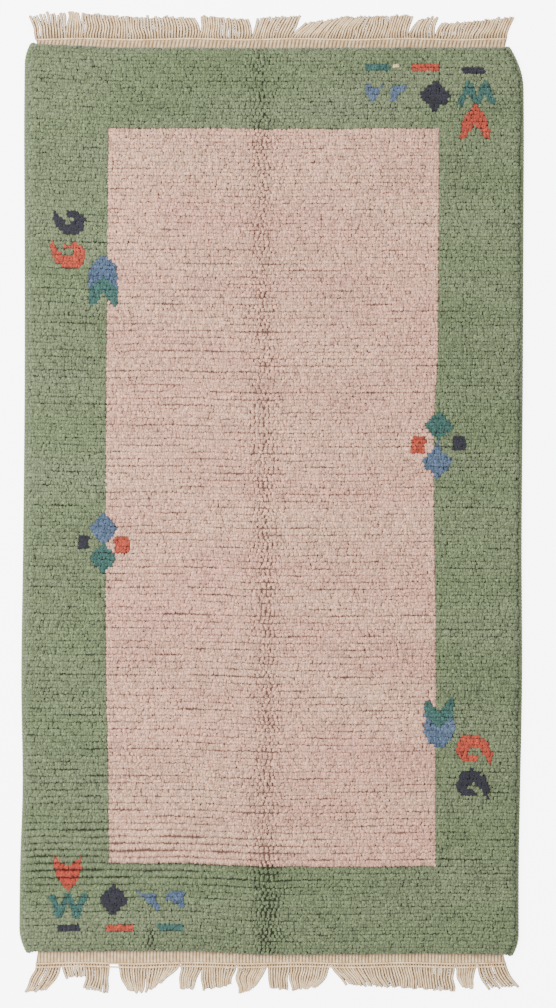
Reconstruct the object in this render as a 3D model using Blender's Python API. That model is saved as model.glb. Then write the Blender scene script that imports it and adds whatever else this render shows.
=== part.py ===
"""Hand-knotted wool rug lying flat on the floor, 0.70 m wide and 1.36 m long over its fringes.

The rug is one thick pile slab on its own foundation, with a row-by-row rib across its whole face and
a soft crease along its length. A wool cord binds each long side. Each short end has a narrow flat-woven
cotton band that slips under the pile and carries a fringe of loose warp ends.

Units are metres, +Z is up and +Y runs along the rug. The origin is on the floor, under the middle of
the rug's overall outline.
"""

import bmesh
import bpy
import numpy as np

MM = 0.001

# Overall sizes
HALF_WIDTH = 350 * MM
PILE_LOW = -630 * MM
PILE_HIGH = 638 * MM
FRINGE_REACH = 682 * MM
CLEARANCE = 0.35 * MM

# Thickness of the pile slab: full height, height just inside its rim, and height of the rim itself
PILE_TOP = 12.8 * MM
SHOULDER_TOP = 12.0 * MM
RIM_TOP = 8.4 * MM
SHOULDER_IN = 6.0 * MM
END_SHOULDER_IN = 4.5 * MM

# The slab's sides lean in from the rim to the floor, over the side cords and the end bands
SIDE_RIM_IN = 4.2 * MM
SIDE_FOOT_IN = 8.8 * MM
END_FOOT_IN = 7.0 * MM

# Ribs run across the rug, one for every two rows of knots
RIBS = 134
RIB_RISE = 0.9 * MM
OPEN_RIB_RISE = 0.9 * MM
OPEN_RIB_PLACE = (-230 * MM, -500 * MM)
OPEN_RIB_SPREAD = (190 * MM, 110 * MM)

# The lengthwise crease where the rug was once folded
CREASE_SHARE = 0.487
CREASE_HALF_WIDTH = 7 * MM
CREASE_DEPTH = 1.6 * MM

# Slow unevenness of the face: height, and waves across and along the rug
FACE_WAVE = 0.35 * MM
FACE_WAVES = (2.3, 3.7)

# How far the two sides stand in from the full half width, by share of the pile's length
SIDE_COLUMNS = ("share", "left", "right")
SIDE_DRIFT = np.array(
    [
        (0.00, 0.0, 7.0),
        (0.10, 1.5, 7.0),
        (0.17, 4.5, 5.5),
        (0.30, 3.0, 2.5),
        (0.45, 5.5, 3.0),
        (0.62, 7.5, 1.5),
        (0.80, 7.5, 0.5),
        (0.92, 7.0, 0.0),
        (1.00, 8.0, 1.0),
    ]
)

# How far the two ends of the pile stand in, by share of the rug's width
END_COLUMNS = ("share", "low", "high")
END_DRIFT = np.array(
    [
        (0.00, 4.9, 0.0),
        (0.17, 6.2, 5.3),
        (0.33, 6.0, 5.6),
        (CREASE_SHARE, 0.7, 6.0),
        (0.66, 1.0, 5.6),
        (0.83, 2.8, 5.4),
        (1.00, 0.7, 5.4),
    ]
)

# Each corner is pulled in by so much, over so long a stretch of the side
CORNERS = {
    ("left", "low"): (11 * MM, 36 * MM),
    ("right", "low"): (10 * MM, 30 * MM),
    ("left", "high"): (9 * MM, 30 * MM),
    ("right", "high"): (20 * MM, 60 * MM),
}

# Side cords: a round cord with a flat where it rests
CORD_HEIGHT = 6.0 * MM
CORD_SIDES = 8
CORNER_STATIONS = 14
SIDE_STATIONS = 19
CORNER_SHARE = 0.05

# End bands: thickness, the line of the outer edge, how far the inner corners stay inside the pile's
# rim to clear the side cords, and how far the outer corners reach past the middle of the last strand
BAND_THICKNESS = 2.0 * MM
BAND_EDGE = {"low": -639.6 * MM, "high": 643.8 * MM}
BAND_SIDE_IN = 9.0 * MM
BAND_CORNER_OUT = 1.6 * MM
BAND_WAVE = 0.8 * MM
BAND_WAVE_LENGTH = 150 * MM

# Fringe strands: a three-sided ridge, flat on the floor and thinner towards its tip
STRAND_PITCH = 4.67 * MM
STRAND_WIDTH = (2.4 * MM, 2.0 * MM, 1.5 * MM)
STRAND_HEIGHT = (BAND_THICKNESS, 1.7 * MM, 1.3 * MM)
STRAND_BEND = 0.36
LENGTH_PLAY = 1.2 * MM
TIP_PLAY = 0.35 * MM
SEED = 7

# Locks of the fringe, in millimetres: where the first and last strand of a lock leave the band,
# where their tips lie, and how long they are
LOCK_COLUMNS = ("root_from", "root_to", "tip_from", "tip_to", "length_from", "length_to")
LOCKS = {
    "high": (
        (-325, -286, -335, -289, 33, 36),
        (-284, -265, -281, -268, 38, 36),
        (-262, -102, -260, -107, 34, 29),
        (-99, -30, -95, -34, 31, 28),
        (-27, 26, -18, 42, 29, 32),
        (29, 75, 49, 94, 20, 29),
        (77, 190, 97, 196, 31, 32),
        (193, 226, 207, 232, 26, 30),
        (229, 326, 240, 336, 22, 30),
    ),
    "low": (
        (-325, -293, -342, -313, 39, 38),
        (-290, -261, -285, -262, 22, 19),
        (-258, -226, -257, -229, 37, 42),
        (-210, -173, -200, -182, 38, 39),
        (-170, -128, -176, -151, 39, 24),
        (-124, -98, -127, -110, 36, 35),
        (-95, -50, -94, -58, 38, 29),
        (-46, -5, -46, -23, 42, 32),
        (-2, 24, -2, 20, 36, 37),
        (27, 81, 29, 65, 39, 32),
        (84, 252, 107, 251, 29, 39),
        (256, 284, 264, 279, 32, 35),
        (288, 324, 304, 344, 35, 34),
    ),
}

# Colours of the yarns, linear
FIELD_PINK = (0.584, 0.436, 0.377, 1)
BORDER_GREEN = (0.254, 0.288, 0.190, 1)
COTTON_CREAM = (0.680, 0.580, 0.470, 1)
WOOL_ROUGHNESS = 0.95
COTTON_ROUGHNESS = 0.85

# The pink field, as shares of the pile's width and length
FIELD_ACROSS = (0.17, 0.83)
FIELD_ALONG = (0.099, 0.904)


def clear_scene():
    """Removes whatever the scene holds."""
    for thing in list(bpy.data.objects):
        bpy.data.objects.remove(thing)


def yarn(name, colour, roughness):
    """A plain yarn material."""
    material = bpy.data.materials.new(name)
    material.use_nodes = True
    shader = material.node_tree.nodes["Principled BSDF"]
    shader.inputs["Base Color"].default_value = colour
    shader.inputs["Roughness"].default_value = roughness
    shader.inputs["Metallic"].default_value = 0
    return material


def smooth_through(table, column, share):
    """A smooth curve through one column of a table in millimetres, read at each share."""
    place, value = table[:, 0], table[:, column]
    slope = np.gradient(value, place)
    k = np.clip(np.searchsorted(place, share) - 1, 0, len(place) - 2)
    span = place[k + 1] - place[k]
    t = (share - place[k]) / span
    start = (1 + 2 * t) * (1 - t) ** 2 * value[k] + t * (1 - t) ** 2 * span * slope[k]
    end = t**2 * (3 - 2 * t) * value[k + 1] + t**2 * (t - 1) * span * slope[k + 1]
    return (start + end) * MM


def corner_pull(side, share):
    """How far a side is drawn in near its two corners: a parabola that dies out along the side."""
    length = PILE_HIGH - PILE_LOW
    pull = np.zeros_like(share)
    for end, distance in (("low", share * length), ("high", (1 - share) * length)):
        depth, run = CORNERS[side, end]
        pull += depth * np.clip(1 - distance / run, 0, None) ** 2
    return pull


def end_line(end, across):
    """The Y of a pile end at each share of the rug's width."""
    drift = np.interp(across, END_DRIFT[:, 0], END_DRIFT[:, END_COLUMNS.index(end)]) * MM
    return PILE_LOW + drift if end == "low" else PILE_HIGH - drift


def stand_in(side, share):
    """How far a side stands in from the half width, which it meets at its widest place."""
    column = SIDE_COLUMNS.index(side)
    every = np.linspace(0, 1, 501)
    least = np.min(smooth_through(SIDE_DRIFT, column, every) + corner_pull(side, every))
    return smooth_through(SIDE_DRIFT, column, share) + corner_pull(side, share) - least


def side_line(side, share, inset=0.0):
    """Points along one side of the rug, moved in from its outer edge by a distance square to it."""
    sign, across = (-1, 0.0) if side == "left" else (1, 1.0)
    x = sign * (HALF_WIDTH - stand_in(side, share))
    y = (1 - share) * end_line("low", across) + share * end_line("high", across)
    run_x, run_y = np.gradient(x, y), np.ones_like(y)
    size = np.hypot(run_x, run_y)
    return np.stack([x - sign * inset * run_y / size, y + sign * inset * run_x / size], axis=-1)


def rib_rows():
    """Shares of the pile's length: rim, shoulder, each rib's groove and crest, shoulder, rim."""
    length = PILE_HIGH - PILE_LOW
    shoulder = END_SHOULDER_IN / length
    grooves = np.linspace(shoulder, 1 - shoulder, 2 * RIBS - 1)
    return np.concatenate([[0.0], grooves, [1.0]])


def face_columns():
    """Shares of the pile's width: rims, shoulders, the field's edges and the crease."""
    width = 2 * HALF_WIDTH
    shoulder = SHOULDER_IN / width
    crease = CREASE_HALF_WIDTH / width
    middle = [CREASE_SHARE - crease, CREASE_SHARE, CREASE_SHARE + crease]
    left = [0.0, shoulder, FIELD_ACROSS[0], 0.33]
    right = [0.66, FIELD_ACROSS[1], 1 - shoulder, 1.0]
    return np.array(left + middle + right)


def face_places(across, along):
    """Plan positions of the pile's face on a grid of shares, from rim to rim and end to end."""
    left = side_line("left", along, SIDE_RIM_IN)
    right = side_line("right", along, SIDE_RIM_IN)
    x = left[:, :1] + (right[:, :1] - left[:, :1]) * across
    low, high = end_line("low", across), end_line("high", across)
    y = low + along[:, None] * (high - low)
    # towards the sides, the rows follow the points square to the edge
    for column, line in ((0, left), (-1, right)):
        y[:, column] = line[:, 1]
    return x, y


def face_heights(x, y, across, along):
    """Height of the pile's face: crown, ribs, crease and slow unevenness."""
    wave = np.sin(FACE_WAVES[0] * np.pi * across) * np.cos(FACE_WAVES[1] * np.pi * along[:, None])
    z = PILE_TOP + FACE_WAVE * wave
    near_x = (x - OPEN_RIB_PLACE[0]) / OPEN_RIB_SPREAD[0]
    near_y = (y - OPEN_RIB_PLACE[1]) / OPEN_RIB_SPREAD[1]
    rise = RIB_RISE + OPEN_RIB_RISE * np.exp(-(near_x**2) - near_y**2)
    z[1:-1:2] -= rise[1:-1:2]
    crease = np.abs(across - CREASE_SHARE) * 2 * HALF_WIDTH < CREASE_HALF_WIDTH / 2
    z[:, crease] -= CREASE_DEPTH
    z[:, (1, -2)] += SHOULDER_TOP - PILE_TOP
    z[(1, -2), :] = np.minimum(z[(1, -2), :], SHOULDER_TOP)
    z[:, (0, -1)] = RIM_TOP
    z[(0, -1), :] = RIM_TOP
    return z


def rim_loop(rows, columns):
    """Indices of a grid's outer points, once round, and the way inwards at each."""
    grid = np.arange(rows * columns).reshape(rows, columns)
    loop = [grid[0, :-1], grid[:-1, -1], grid[-1, :0:-1], grid[:0:-1, 0]]
    inward = np.zeros((rows, columns, 2))
    inward[:, 0, 0], inward[:, -1, 0] = 1, -1
    inward[0, :, 1], inward[-1, :, 1] = 1, -1
    order = np.concatenate(loop)
    return order, inward.reshape(-1, 2)[order]


def link(name, points, faces, *materials):
    """A mesh object from points and faces, with its faces turned outwards."""
    mesh = bpy.data.meshes.new(name)
    mesh.from_pydata([tuple(p) for p in points], [], [tuple(int(i) for i in f) for f in faces])
    shape = bmesh.new()
    shape.from_mesh(mesh)
    bmesh.ops.recalc_face_normals(shape, faces=shape.faces)
    shape.to_mesh(mesh)
    shape.free()
    for material in materials:
        mesh.materials.append(material)
    thing = bpy.data.objects.new(name, mesh)
    bpy.context.scene.collection.objects.link(thing)
    return thing


def pile_slab(border, field):
    """The knotted body: a ribbed face, walls that lean in to the floor and a flat underside."""
    across, along = face_columns(), rib_rows()
    rows, columns = len(along), len(across)
    x, y = face_places(across, along)
    z = face_heights(x, y, across, along)
    face_points = np.stack([x, y, z], axis=-1).reshape(-1, 3)

    rim, inward = rim_loop(rows, columns)
    feet = face_points[rim]
    feet[:, 2] = 0
    feet[:, 1] += inward[:, 1] * END_FOOT_IN
    for side, column in (("left", 0), ("right", columns - 1)):
        on_side = rim % columns == column
        foot = side_line(side, along, SIDE_FOOT_IN)
        foot[:, 1] = np.clip(foot[:, 1], y[0, column] + END_FOOT_IN, y[-1, column] - END_FOOT_IN)
        feet[on_side, :2] = foot[rim[on_side] // columns]

    faces = []
    for row in range(rows - 1):
        for column in range(columns - 1):
            a = row * columns + column
            faces.append((a, a + 1, a + columns + 1, a + columns))
    count = rows * columns
    feet_index = np.arange(count, count + len(rim))
    for k in range(len(rim)):
        after = (k + 1) % len(rim)
        faces.append((rim[k], rim[after], feet_index[after], feet_index[k]))
    faces.append(feet_index)
    slab = link("pile_slab", np.vstack([face_points, feet]), faces, border, field)

    for face in slab.data.polygons[: (rows - 1) * (columns - 1)]:
        row, column = divmod(face.index, columns - 1)
        inside_across = FIELD_ACROSS[0] <= across[column] < FIELD_ACROSS[1]
        inside_along = FIELD_ALONG[0] <= along[row] < FIELD_ALONG[1]
        face.material_index = int(inside_across and inside_along)
    return slab


def side_cord(side, material):
    """The wool cord bound along one side, swept along the edge with a flat underneath."""
    near = np.linspace(0, CORNER_SHARE, CORNER_STATIONS)
    middle = np.linspace(CORNER_SHARE, 1 - CORNER_SHARE, SIDE_STATIONS)[1:-1]
    share = np.concatenate([near, middle, 1 - near[::-1]])
    turn = np.pi / CORD_SIDES
    angle = turn + np.arange(CORD_SIDES) * 2 * turn
    radius = CORD_HEIGHT / 2 / np.cos(turn)
    inset = CORD_HEIGHT / 2 + radius * np.cos(angle)
    height = CORD_HEIGHT / 2 + radius * np.sin(angle)
    lines = np.stack([side_line(side, share, i) for i in inset], axis=1)
    level = np.broadcast_to(height[:, None], (len(share), CORD_SIDES, 1))
    points = np.concatenate([lines, level], axis=2).reshape(-1, 3)
    faces = [range(CORD_SIDES), range(len(points) - CORD_SIDES, len(points))]
    for station in range(len(share) - 1):
        for k in range(CORD_SIDES):
            a = station * CORD_SIDES + k
            b = station * CORD_SIDES + (k + 1) % CORD_SIDES
            faces.append((a, b, b + CORD_SIDES, a + CORD_SIDES))
    return link(f"side_cord_{side}", points, faces, material)


def strand_lines(end, chance):
    """Root, bend and tip of every strand of one fringe, from the table of locks."""
    outward = -1 if end == "low" else 1
    lines = []
    for lock in LOCKS[end]:
        row = dict(zip(LOCK_COLUMNS, np.array(lock) * MM))
        count = int(round((row["root_to"] - row["root_from"]) / STRAND_PITCH)) + 1
        t = np.linspace(0, 1, count)
        root = row["root_from"] + t * (row["root_to"] - row["root_from"])
        tip = row["tip_from"] + t * (row["tip_to"] - row["tip_from"])
        tip += chance.uniform(-TIP_PLAY, TIP_PLAY, count)
        length = row["length_from"] + t * (row["length_to"] - row["length_from"])
        length += chance.uniform(-LENGTH_PLAY, LENGTH_PLAY, count)
        edge = band_edge(end, root)
        reach = np.minimum(length, FRINGE_REACH - np.abs(edge))
        bend = root + STRAND_BEND * (tip - root)
        x = np.stack([root, bend, tip], axis=1)
        y = edge[:, None] + outward * reach[:, None] * np.array([0, 0.5, 1])
        lines.append(np.stack([x, y], axis=2))
    return np.concatenate(lines)


def band_edge(end, x):
    """The Y of a band's outer edge, which waves a little."""
    return BAND_EDGE[end] + BAND_WAVE * np.sin(2 * np.pi * x / BAND_WAVE_LENGTH)


def band_back(end):
    """Points of a band's inner edge, which keeps clear of the leaning end wall of the pile."""
    inward = 1 if end == "low" else -1
    row = 0 if end == "low" else -1
    across = face_columns()
    x, y = face_places(across, np.array([0.0, 1.0]))
    wall_in = END_FOOT_IN * (1 - BAND_THICKNESS / RIM_TOP)
    lean = np.hypot(END_FOOT_IN, RIM_TOP) / RIM_TOP
    depth = wall_in - CLEARANCE * lean
    inner = x[row, 2:-2]
    line = y[row, 2:-2] + inward * depth
    ends = x[row, (0, -1)] + np.array([1, -1]) * BAND_SIDE_IN
    end_y = np.interp(ends, x[row, 1:-1], y[row, 1:-1]) + inward * depth
    return np.stack(
        [np.concatenate([ends[:1], inner, ends[1:]]), np.concatenate([end_y[:1], line, end_y[1:]])],
        axis=1,
    )


def fringed_band(end, material, chance):
    """A flat-woven band with its fringe: the strands grow out of the band's outer edge."""
    strands = strand_lines(end, chance)
    count = len(strands)
    back = band_back(end)
    corner_x = strands[(0, -1), 0, 0] + np.array([-1, 1]) * BAND_CORNER_OUT
    corners = np.column_stack([corner_x, band_edge(end, corner_x)])

    def at(plan, z):
        return np.column_stack([plan, np.full(len(plan), z)])

    points = []
    for station, (width, height) in enumerate(zip(STRAND_WIDTH, STRAND_HEIGHT)):
        centre = strands[:, station]
        half = np.array([width / 2, 0])
        points += [at(centre - half, 0), at(centre + half, 0), at(centre, height)]
    points += [at(corners, 0), at(corners, BAND_THICKNESS), at(back, 0), at(back, BAND_THICKNESS)]
    starts = np.cumsum([0] + [len(p) for p in points])
    rings = [[starts[3 * s + k] + np.arange(count) for k in range(3)] for s in range(3)]
    front_low, front_top, back_low, back_top = (starts[k] for k in range(9, 13))

    faces = []
    for i in range(count):
        for inner, outer in zip(rings, rings[1:]):
            for k in range(3):
                a, b = k, (k + 1) % 3
                faces.append((inner[a][i], inner[b][i], outer[b][i], outer[a][i]))
        faces.append([side[i] for side in rings[-1]])

    left, right, ridge = rings[0]
    for i in range(count - 1):
        faces.append((right[i], left[i + 1], ridge[i + 1], ridge[i]))
    faces.append((front_low, left[0], ridge[0], front_top))
    faces.append((right[-1], front_low + 1, front_top + 1, ridge[-1]))

    upper = [front_top, *ridge, front_top + 1]
    lower = [front_low, *np.column_stack([left, right]).ravel(), front_low + 1]
    plan = np.vstack(points)
    for front, first in ((upper, back_top), (lower, back_low)):
        faces += fan_between(front, np.arange(first, first + len(back)), plan)
    for k in range(len(back) - 1):
        faces.append((back_low + k, back_low + k + 1, back_top + k + 1, back_top + k))
    faces.append((front_low, front_top, back_top, back_low))
    last = len(back) - 1
    faces.append((front_low + 1, front_top + 1, back_top + last, back_low + last))
    return link(f"fringed_band_{end}", plan, faces, material)


def fan_between(front, back, plan):
    """Triangles between a finely and a coarsely divided edge, each joined to its nearest partner."""
    faces = []
    k = 0
    for a, b in zip(front, front[1:]):
        middle = (plan[a, 0] + plan[b, 0]) / 2
        while k + 1 < len(back) and abs(plan[back[k + 1], 0] - middle) < abs(plan[back[k], 0] - middle):
            faces.append((a, back[k + 1], back[k]))
            k += 1
        faces.append((a, b, back[k]))
    for k in range(k, len(back) - 1):
        faces.append((front[-1], back[k + 1], back[k]))
    return faces


def build():
    """Makes the rug: pile slab, two side cords and two fringed bands."""
    clear_scene()
    border = yarn("green_wool", BORDER_GREEN, WOOL_ROUGHNESS)
    field = yarn("pink_wool", FIELD_PINK, WOOL_ROUGHNESS)
    cord = yarn("green_binding_wool", BORDER_GREEN, WOOL_ROUGHNESS)
    cotton = yarn("cream_cotton", COTTON_CREAM, COTTON_ROUGHNESS)
    pile_slab(border, field)
    for side in ("left", "right"):
        side_cord(side, cord)
    chance = np.random.default_rng(SEED)
    for end in ("low", "high"):
        fringed_band(end, cotton, chance)


build()
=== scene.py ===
# %% [markdown]
# # A hand-knotted wool rug, laid out flat
#
# The rug is a small one of the kind that is knotted in Nepal: thick wool pile on cotton warps, a pink
# field in a sage green border, and a few plain geometric figures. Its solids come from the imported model
# and hold the true size. This script dresses them: it plants every knot of the pile as a tuft of its
# own, weaves the two cotton end bands, twists the fringe and binds the long sides.

import bpy
import numpy as np
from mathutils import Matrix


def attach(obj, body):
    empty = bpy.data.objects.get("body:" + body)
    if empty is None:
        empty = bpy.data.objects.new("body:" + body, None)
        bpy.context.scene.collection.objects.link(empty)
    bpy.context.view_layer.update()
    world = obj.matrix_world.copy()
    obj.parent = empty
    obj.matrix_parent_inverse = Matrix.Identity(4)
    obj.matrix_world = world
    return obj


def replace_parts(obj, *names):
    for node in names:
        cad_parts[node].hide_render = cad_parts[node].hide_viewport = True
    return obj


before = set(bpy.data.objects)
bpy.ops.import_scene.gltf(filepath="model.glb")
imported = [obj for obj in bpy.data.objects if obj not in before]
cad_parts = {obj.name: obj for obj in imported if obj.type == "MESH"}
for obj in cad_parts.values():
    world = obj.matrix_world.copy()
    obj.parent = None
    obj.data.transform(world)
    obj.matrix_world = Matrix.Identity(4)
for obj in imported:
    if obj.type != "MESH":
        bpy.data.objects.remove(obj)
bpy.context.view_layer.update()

# %% [markdown]
# ## The camera
#
# The rug is seen from straight above, so that its outline is undistorted. A long lens high above the
# floor keeps the far corners from spreading. The picture is 556 by 1008 pixels, and its long side spans
# 1.40 m of floor, a little more than the rug with its fringes.

# %% Camera
MM = 0.001
VIEW_LENGTH = 1.400
VIEW_CENTRE = (9.7 * MM, -2.1 * MM)
LENS_MM = 100.0
SENSOR_MM = 36.0

camera_data = bpy.data.cameras.new("photo_camera")
camera_data.lens = LENS_MM
camera_data.sensor_width = SENSOR_MM
camera = bpy.data.objects.new("photo_camera", camera_data)
camera.location = (*VIEW_CENTRE, VIEW_LENGTH * LENS_MM / SENSOR_MM)
bpy.context.scene.collection.objects.link(camera)
bpy.context.scene.camera = camera
print("camera is", round(camera.location.z, 2), "m above the floor")

# %% [markdown]
# ## Soft light
#
# A rug is photographed under large soft lamps. The room's own light fills every groove a little, and one
# broad lamp from the upper left gives each tuft a light side and a dark side, which is what makes the
# rows of knots readable. One lamp alone would leave black grooves, and the room alone would show none.

# %% Light
ROOM_STRENGTH = 1.04
LAMP_POWER = 154.0
LAMP_SIZE = 1.6
LAMP_PLACE = (-1.9, 0.6, 2.3)

world = bpy.data.worlds.new("soft_room")
bpy.context.scene.world = world
world.use_nodes = True
world.node_tree.nodes["Background"].inputs["Color"].default_value = (1, 1, 1, 1)
world.node_tree.nodes["Background"].inputs["Strength"].default_value = ROOM_STRENGTH

lamp_data = bpy.data.lights.new("soft_lamp", "AREA")
lamp_data.energy = LAMP_POWER
lamp_data.size = LAMP_SIZE
lamp = bpy.data.objects.new("soft_lamp", lamp_data)
lamp.location = LAMP_PLACE
toward_rug = -lamp.location
lamp.rotation_euler = toward_rug.to_track_quat("-Z", "Y").to_euler()
bpy.context.scene.collection.objects.link(lamp)
print("lamp at", LAMP_PLACE)

# %% [markdown]
# ## Helpers for meshes
#
# Thousands of tufts can't be placed by hand or with modifiers, so every piece below is worked out as
# whole arrays of points. One helper turns such arrays into a Blender object, with its smooth shading, its
# texture map and any per-point values that its material reads. Another lists the four-sided faces of a
# grid of points.


# %% Mesh helpers
def grid_faces(rows, columns, round_rows=False):
    """Faces of a grid: each joins a point to its right, upper right and upper neighbours."""
    index = np.arange(rows * columns).reshape(rows, columns)
    if round_rows:
        index = np.hstack([index, index[:, :1]])
    a, b, c, d = index[:-1, :-1], index[:-1, 1:], index[1:, 1:], index[1:, :-1]
    return np.stack([a, b, c, d], axis=-1).reshape(-1, 4)


def copies_of(faces, points_each, count):
    """The same faces repeated for many copies: copy k adds k times the number of points to each index."""
    shift = np.arange(count)[:, None, None] * points_each
    return (faces[None] + shift).reshape(-1, faces.shape[1])


def new_piece(name, points, face_sets, material, uv=None, values=None):
    """An object at the origin from points and arrays of faces; uv has a row for each point."""
    mesh = bpy.data.meshes.new(name)
    corners = np.concatenate([faces.ravel() for faces in face_sets])
    sizes = np.concatenate([np.full(len(faces), faces.shape[1]) for faces in face_sets])
    mesh.vertices.add(len(points))
    mesh.vertices.foreach_set("co", np.asarray(points, dtype=np.float32).ravel())
    mesh.loops.add(len(corners))
    mesh.loops.foreach_set("vertex_index", corners.astype(np.int32))
    mesh.polygons.add(len(sizes))
    mesh.polygons.foreach_set("loop_start", (np.cumsum(sizes) - sizes).astype(np.int32))
    mesh.update(calc_edges=True)
    mesh.polygons.foreach_set("use_smooth", np.ones(len(sizes), dtype=bool))
    if uv is not None:
        layer = mesh.uv_layers.new(name="OFBake")
        layer.data.foreach_set("uv", uv[corners].astype(np.float32).ravel())
    for key, value in (values or {}).items():
        attribute = mesh.attributes.new(key, "FLOAT", "POINT")
        attribute.data.foreach_set("value", value.astype(np.float32).ravel())
    mesh.materials.append(material)
    mesh.validate()
    piece = bpy.data.objects.new(name, mesh)
    bpy.context.scene.collection.objects.link(piece)
    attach(piece, "root")
    triangles = int((sizes - 2).sum())
    print(f"{name}: {len(points)} points, {triangles} triangles")
    return piece


# %% [markdown]
# ## Helpers for materials
#
# Colours are given as the hex values that a screen shows, and Blender wants linear light, so one
# function converts them. One small function adds a shader node: plain values set its inputs, and
# sockets are linked to them. The last two hold what wool and cotton have in common.


# %% Material helpers
# Fibres and frosted acrylic mirror little, so every material here has a low specular level.
LOW_GLOSS = 0.2
# The sockets of a colour mix that take its two colours, and the one that gives the result.
FIRST_COLOUR, SECOND_COLOUR, MIXED = 6, 7, 2


def linear(hex_colour):
    """An sRGB hex colour as linear red, green, blue and alpha, by the standard's two-part curve."""
    channels = np.array([int(hex_colour[i : i + 2], 16) for i in (1, 3, 5)]) / 255
    curve = np.where(channels <= 0.04045, channels / 12.92, ((channels + 0.055) / 1.055) ** 2.4)
    return (*curve, 1.0)


def add_node(tree, kind, inputs=None, **settings):
    """Adds a node, applies its settings, then links sockets and writes plain values to its inputs."""
    node = tree.nodes.new(kind)
    for key, value in settings.items():
        setattr(node, key, value)
    for key, value in (inputs or {}).items():
        if isinstance(value, bpy.types.NodeSocket):
            tree.links.new(value, node.inputs[key])
        else:
            node.inputs[key].default_value = value
    return node


def new_material(name, roughness, sheen=0.0, sheen_roughness=0.5):
    """A Principled material with constant values on the shader's own sockets."""
    material = bpy.data.materials.new(name)
    material.use_nodes = True
    shader = material.node_tree.nodes["Principled BSDF"]
    shader.inputs["Roughness"].default_value = roughness
    shader.inputs["Sheen Weight"].default_value = sheen
    shader.inputs["Sheen Roughness"].default_value = sheen_roughness
    shader.inputs["Specular IOR Level"].default_value = LOW_GLOSS
    return material, material.node_tree, shader


def from_root_to_tip(tree, root, tip, darkest, lightest):
    """Colour from root to tip by depth, painting shade towards the root; a lightness between two values by
    tone.
    """
    depth = add_node(tree, "ShaderNodeAttribute", attribute_name="depth").outputs["Fac"]
    colours = {"Factor": depth, FIRST_COLOUR: linear(root), SECOND_COLOUR: tip}
    colour = add_node(tree, "ShaderNodeMix", colours, data_type="RGBA").outputs[MIXED]
    tone = add_node(tree, "ShaderNodeAttribute", attribute_name="tone").outputs["Fac"]
    own = add_node(tree, "ShaderNodeMapRange", {"Value": tone, "To Min": darkest, "To Max": lightest})
    return colour, own.outputs["Result"]


def show_fibres(tree, shader, colour, lightness, relief):
    """Base colour = colour x lightness, and the relief's height is a bump."""
    lit = add_node(tree, "ShaderNodeVectorMath", {0: colour, "Scale": lightness}, operation="SCALE")
    tree.links.new(lit.outputs[0], shader.inputs["Base Color"])
    bump = add_node(tree, "ShaderNodeBump", relief)
    tree.links.new(bump.outputs["Normal"], shader.inputs["Normal"])


# %% [markdown]
# The ground is a white light table, a sheet of frosted acrylic lit from below: it comes out almost pure
# white and takes next to no shadow. Its glow is only seen and isn't let onto the rug, because it would
# wash out the fringe. The table is a stage and isn't part of the rug.

# %% Floor
FLOOR_SIZE = 12.0
TABLE_GLOW = 6.0
TABLE_BELOW = 0.2 * MM

table_top, tree, shader = new_material("white_light_table", roughness=0.9)
shader.inputs["Base Color"].default_value = linear("#f4f4f4")
shader.inputs["Emission Color"].default_value = linear("#ffffff")
shader.inputs["Emission Strength"].default_value = TABLE_GLOW
floor_mesh = bpy.data.meshes.new("floor")
half = FLOOR_SIZE / 2
corners = [(-half, -half, 0), (half, -half, 0), (half, half, 0), (-half, half, 0)]
floor_mesh.from_pydata(corners, [], [(0, 1, 2, 3)])
floor_mesh.materials.append(table_top)
floor = bpy.data.objects.new("floor", floor_mesh)
floor.location.z = -TABLE_BELOW
floor.visible_diffuse = False
bpy.context.scene.collection.objects.link(floor)
print("floor is", FLOOR_SIZE, "m square")

# %% [markdown]
# ## The rug's outline
#
# A hand-knotted rug is never a true rectangle: the weaver's tension changes, so its sides wander and its
# ends wave. The same short tables as in the solids give how far each side and end stands in, at a few
# places along it.

# %% Outline tables
HALF_WIDTH = 350 * MM
PILE_LOW = -630 * MM
PILE_HIGH = 638 * MM
SIDE_COLUMNS = ("share", "left", "right")
SIDE_DRIFT = np.array(
    [
        (0.00, 0.0, 7.0),
        (0.10, 1.5, 7.0),
        (0.17, 4.5, 5.5),
        (0.30, 3.0, 2.5),
        (0.45, 5.5, 3.0),
        (0.62, 7.5, 1.5),
        (0.80, 7.5, 0.5),
        (0.92, 7.0, 0.0),
        (1.00, 8.0, 1.0),
    ]
)
END_COLUMNS = ("share", "low", "high")
END_DRIFT = np.array(
    [
        (0.00, 4.9, 0.0),
        (0.17, 6.2, 5.3),
        (0.33, 6.0, 5.6),
        (0.487, 0.7, 6.0),
        (0.66, 1.0, 5.6),
        (0.83, 2.8, 5.4),
        (1.00, 0.7, 5.4),
    ]
)
# How deep each corner is rounded off at the end of its side, and over what length.
CORNERS = {
    ("left", "low"): (11 * MM, 36 * MM),
    ("right", "low"): (10 * MM, 30 * MM),
    ("left", "high"): (9 * MM, 30 * MM),
    ("right", "high"): (20 * MM, 60 * MM),
}


def smooth_through(table, column, share):
    """A smooth curve through one column of a table in millimetres: cubic pieces that share slopes."""
    place, value = table[:, 0], table[:, column]
    slope = np.gradient(value, place)
    k = np.clip(np.searchsorted(place, share) - 1, 0, len(place) - 2)
    span = place[k + 1] - place[k]
    t = (share - place[k]) / span
    start = (1 + 2 * t) * (1 - t) ** 2 * value[k] + t * (1 - t) ** 2 * span * slope[k]
    end = t**2 * (3 - 2 * t) * value[k + 1] + t**2 * (t - 1) * span * slope[k + 1]
    return (start + end) * MM


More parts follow.
